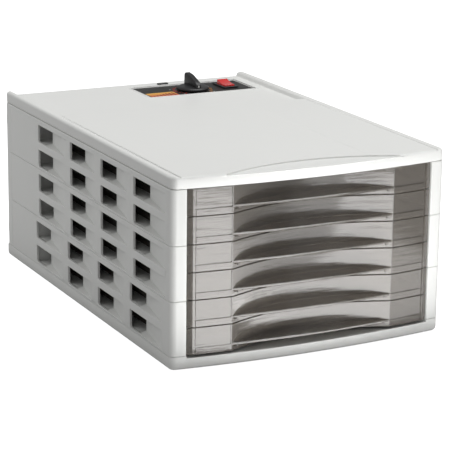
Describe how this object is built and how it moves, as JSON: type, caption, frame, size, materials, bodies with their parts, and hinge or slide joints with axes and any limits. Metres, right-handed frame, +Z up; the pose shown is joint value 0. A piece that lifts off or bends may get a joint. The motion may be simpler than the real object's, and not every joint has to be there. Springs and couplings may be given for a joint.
{
  "type": "food dehydrator",
  "caption": "Box-shaped tray food dehydrator with louvred side walls, smoked pull-out trays with finger hollows, a rear fan and heater bay, and a lid with a thermostat knob and a rocker switch.",
  "frame": {"origin": "on the floor plane, at the middle of the footprint", "axes": "+Z up, -Y towards the tray fronts, +Y towards the rear cover, +X to the right seen from the front"},
  "size_m": [0.312, 0.4696, 0.2114],
  "materials": {
    "housing": "fine satin moulded",
    "smoked": "translucent smoked, glossy",
    "sheet": "flexible woven",
    "black": "satin moulded",
    "red": "glossy, lit from inside",
    "foot": "soft matte",
    "steel": "plain sheet",
    "wire": "oxidised resistance wire",
    "board": "mica board",
    "cream": "heat-proof moulding"
  },
  "bodies": {
    "housing": {"base": "housing", "module_lower": "housing", "module_middle": "housing", "module_upper": "housing", "lid": "housing", "rear_cover": "housing", "foot_1": "foot", "foot_2": "foot", "foot_3": "foot", "foot_4": "foot", "rear_screw_1": "steel", "rear_screw_2": "steel", "rear_screw_3": "steel", "rear_screw_4": "steel", "cord_gland": "black", "control_panel": "black", "thermostat": "cream", "switch_housing": "black", "heater_frame": "board", "heater_coil": "wire", "thermal_cutout": "steel", "fan_shroud": "steel", "motor": "steel", "motor_bracket": "steel", "terminal_block": "cream"},
    "knob": {"knob": "black", "thermostat_spindle": "steel"},
    "rocker": {"switch_rocker": "red"},
    "rotor": {"fan": "black", "motor_shaft": "steel"},
    "tray_slide_1": {"tray_1": "smoked", "tray_front_1": "smoked", "mesh_sheet_1": "sheet"},
    "tray_slide_2": {"tray_2": "smoked", "tray_front_2": "smoked", "mesh_sheet_2": "sheet"},
    "tray_slide_3": {"tray_3": "smoked", "tray_front_3": "smoked", "mesh_sheet_3": "sheet"},
    "tray_slide_4": {"tray_4": "smoked", "tray_front_4": "smoked", "mesh_sheet_4": "sheet"},
    "tray_slide_5": {"tray_5": "smoked", "tray_front_5": "smoked", "mesh_sheet_5": "sheet"},
    "tray_slide_6": {"tray_6": "smoked", "tray_front_6": "smoked", "mesh_sheet_6": "sheet"}
  },
  "joints": [
    {"name": "tray_1_pull", "type": "slide", "parent": "housing", "child": "tray_slide_1", "axis": [0, -1, 0], "range_m": [0, 0.33]},
    {"name": "tray_2_pull", "type": "slide", "parent": "housing", "child": "tray_slide_2", "axis": [0, -1, 0], "range_m": [0, 0.33]},
    {"name": "tray_3_pull", "type": "slide", "parent": "housing", "child": "tray_slide_3", "axis": [0, -1, 0], "range_m": [0, 0.33]},
    {"name": "tray_4_pull", "type": "slide", "parent": "housing", "child": "tray_slide_4", "axis": [0, -1, 0], "range_m": [0, 0.33]},
    {"name": "tray_5_pull", "type": "slide", "parent": "housing", "child": "tray_slide_5", "axis": [0, -1, 0], "range_m": [0, 0.33]},
    {"name": "tray_6_pull", "type": "slide", "parent": "housing", "child": "tray_slide_6", "axis": [0, -1, 0], "range_m": [0, 0.33]},
    {"name": "knob_turn", "type": "hinge", "parent": "housing", "child": "knob", "pos_m": [0.061, 0.1813, 0.1935], "axis": [0, 0, 1], "range_deg": [-135, 135]},
    {"name": "rocker_tilt", "type": "hinge", "parent": "housing", "child": "rocker", "pos_m": [0.108, 0.1883, 0.1896], "axis": [1, 0, 0], "range_deg": [-20, 0]},
    {"name": "fan_spin", "type": "hinge", "parent": "housing", "child": "rotor", "pos_m": [0, 0.17, 0.1007], "axis": [0, 1, 0], "continuous": true}
  ]
}
